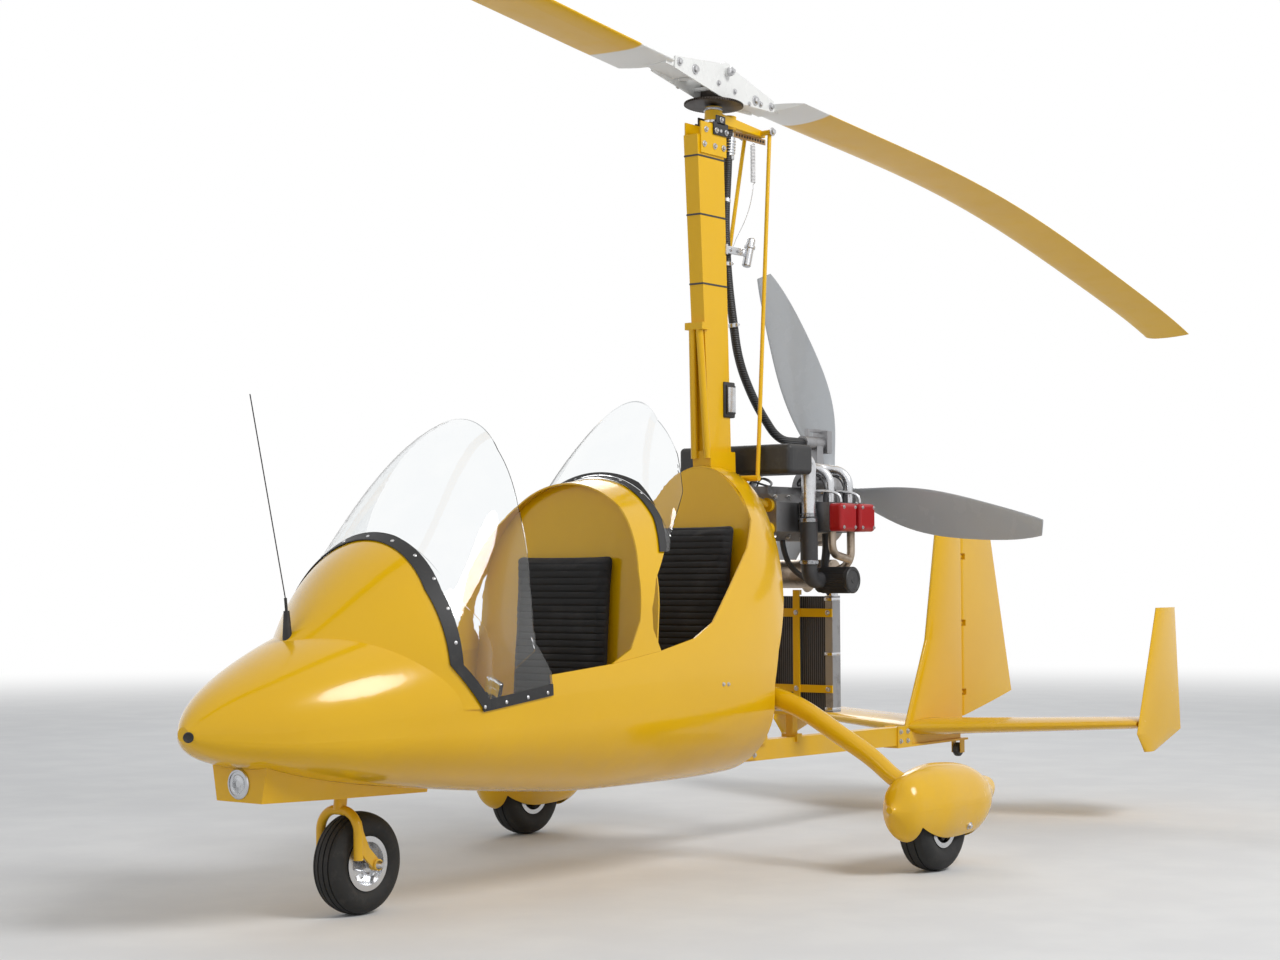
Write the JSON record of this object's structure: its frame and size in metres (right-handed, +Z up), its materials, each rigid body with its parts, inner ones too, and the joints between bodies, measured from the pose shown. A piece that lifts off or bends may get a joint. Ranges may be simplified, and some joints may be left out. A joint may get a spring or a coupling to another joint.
{
  "type": "gyrocopter",
  "caption": "Two-seat tandem open gyrocopter: composite pod with two screens, mast with a teetering rotor, pusher propeller, low tail with fins, tricycle gear with faired main wheels.",
  "frame": {"origin": "on the ground straight under the rotor hub, on the centre plane", "axes": "+X to port (the pilot's left), +Y aft along the keel, +Z up; nose towards -Y, ground at Z = 0"},
  "size_m": [1.8502, 8.2183, 2.6961],
  "materials": {
    "yellow_skin": "gloss yellow composite skin",
    "yellow_foam": "gloss yellow skin over a light core",
    "screen": "clear acrylic",
    "black_trim": "matt black rubber and moulding",
    "tank": "black polyethylene, part full",
    "yellow": "gloss yellow paint",
    "yellow_alu": "yellow paint over aluminium plate",
    "red_cover": "red crackle paint",
    "black_case": "black moulded housing",
    "alu": "brushed",
    "alu_dark": "as cast",
    "steel": "machined",
    "white_blade": "white paint over extrusion",
    "cushion": "black ribbed cover over foam",
    "tyre": "matt rubber",
    "rubber": "matt hose rubber",
    "lens": "clear lens",
    "prop": "light grey gel coat on a composite blade"
  },
  "bodies": {
    "airframe": {"hull_shell": "yellow_skin", "chin_box": "yellow_skin", "landing_lamp": "lens", "front_screen": "screen", "rear_screen": "screen", "screen_trims": "black_trim", "mid_cowl": "yellow_skin", "cabin_floor": "black_trim", "bulkheads": "yellow_skin", "seat_tanks": "tank", "seat_bases": "cushion", "seat_backs": "cushion", "instrument_panel": "black_trim", "battery": "tank", "flight_controls": "alu_dark", "keel_beam": "yellow", "mast": "yellow", "mast_collar": "yellow", "gear_bow": "yellow_skin", "base_frame": "yellow", "spats": "yellow_skin", "main_axles": "steel", "steering_head": "yellow", "stabiliser": "yellow_foam", "fin": "yellow_foam", "tip_fins": "yellow_foam", "tail_bracket": "yellow_alu", "rotor_head": "alu", "control_rods": "alu", "drive_shaft": "rubber", "engine_block": "alu_dark", "cylinders": "alu_dark", "rocker_covers": "red_cover", "gearbox": "alu_dark", "prerotator_drive": "alu_dark", "airbox": "black_case", "intake_pipes": "alu", "air_filter": "rubber", "exhaust": "steel", "radiator_core": "black_case", "radiator_tanks": "alu_dark", "radiator_frame": "yellow", "engine_mount": "yellow", "antenna": "black_trim"},
    "nose_steer": {"nose_fork": "yellow", "nose_axle": "steel"},
    "nose_wheel": {"nose_tyre": "tyre", "nose_rim": "alu"},
    "main_wheel_left": {"main_left_tyre": "tyre", "main_left_rim": "alu"},
    "main_wheel_right": {"main_right_tyre": "tyre", "main_right_rim": "alu"},
    "tail_wheel": {"tail_wheel": "rubber"},
    "rotor": {"rotor_spindle": "steel"},
    "rotor_bar": {"hub_bar": "white_blade", "rotor_blades": "white_blade"},
    "propeller": {"prop_hub": "alu", "prop_blades": "prop"},
    "rudder": {"rudder": "yellow_foam"}
  },
  "joints": [
    {"name": "nose_steer", "type": "hinge", "parent": "airframe", "child": "nose_steer", "pos_m": [0, -1.762, 0.287], "axis": [0, 0.1392, 0.9903], "range_deg": [-25, 25]},
    {"name": "nose_wheel_spin", "type": "hinge", "parent": "nose_steer", "child": "nose_wheel", "pos_m": [0, -1.695, 0.139], "axis": [1, 0, 0], "continuous": true},
    {"name": "main_left_spin", "type": "hinge", "parent": "airframe", "child": "main_wheel_left", "pos_m": [0.827, -0.024, 0.146], "axis": [1, 0, 0], "continuous": true},
    {"name": "main_right_spin", "type": "hinge", "parent": "airframe", "child": "main_wheel_right", "pos_m": [-0.827, -0.024, 0.146], "axis": [1, 0, 0], "continuous": true},
    {"name": "tail_wheel_spin", "type": "hinge", "parent": "airframe", "child": "tail_wheel", "pos_m": [0, 1.613, 0.227], "axis": [1, 0, 0], "continuous": true},
    {"name": "rotor_spin", "type": "hinge", "parent": "airframe", "child": "rotor", "pos_m": [0, 0, 2.603], "axis": [0, 0.0628, 0.998], "continuous": true},
    {"name": "rotor_teeter", "type": "hinge", "parent": "rotor", "child": "rotor_bar", "pos_m": [0, 0, 2.603], "axis": [0.998, 0.0627, -0.0039], "range_deg": [-7, 7]},
    {"name": "propeller_spin", "type": "hinge", "parent": "airframe", "child": "propeller", "pos_m": [0, 0.72, 1.216], "axis": [0, 1, 0], "continuous": true},
    {"name": "rudder_hinge", "type": "hinge", "parent": "airframe", "child": "rudder", "pos_m": [0, 1.641, 0.72], "axis": [0, 0, 1], "range_deg": [-25, 25]}
  ],
  "couplings": [
    {"joint": "rudder_hinge", "follows": "nose_steer", "ratio": -1}
  ]
}
